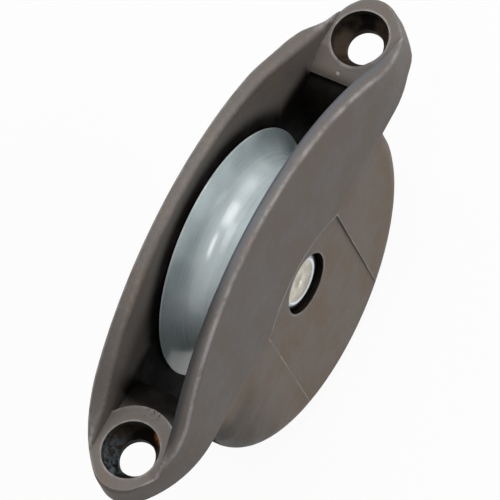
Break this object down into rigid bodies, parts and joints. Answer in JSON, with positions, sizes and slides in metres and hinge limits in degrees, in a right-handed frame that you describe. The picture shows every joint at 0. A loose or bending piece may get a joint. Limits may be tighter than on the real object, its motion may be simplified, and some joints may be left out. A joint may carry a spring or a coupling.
{
  "type": "flush sheave box",
  "caption": "Flush-mount sheave box: a long dark moulded housing with a grey grooved sheave turning between two raised cheeks.",
  "frame": {"origin": "on the mounting surface, midway between the two screw holes", "axes": "+X along the slot from one screw to the other, +Y along the axle, +Z out of the deck towards the cheeks"},
  "size_m": [0.0756, 0.0158, 0.0463],
  "materials": {
    "housing_plastic": "matte, slightly worn, dark brown-grey",
    "sheave_plastic": "satin grey acetal",
    "bush_plastic": "natural bearing plastic",
    "axle_steel": "satin stainless",
    "washer_plastic": "natural bearing plastic"
  },
  "bodies": {
    "housing_body": {"housing": "housing_plastic", "axle_pin": "axle_steel", "thrust_washer_right": "washer_plastic", "thrust_washer_left": "washer_plastic"},
    "sheave_body": {"sheave": "sheave_plastic", "sheave_bush": "bush_plastic"}
  },
  "joints": [
    {"name": "sheave_spin", "type": "hinge", "parent": "housing_body", "child": "sheave_body", "pos_m": [0, 0, -0.0038], "axis": [0, 1, 0], "continuous": true}
  ]
}
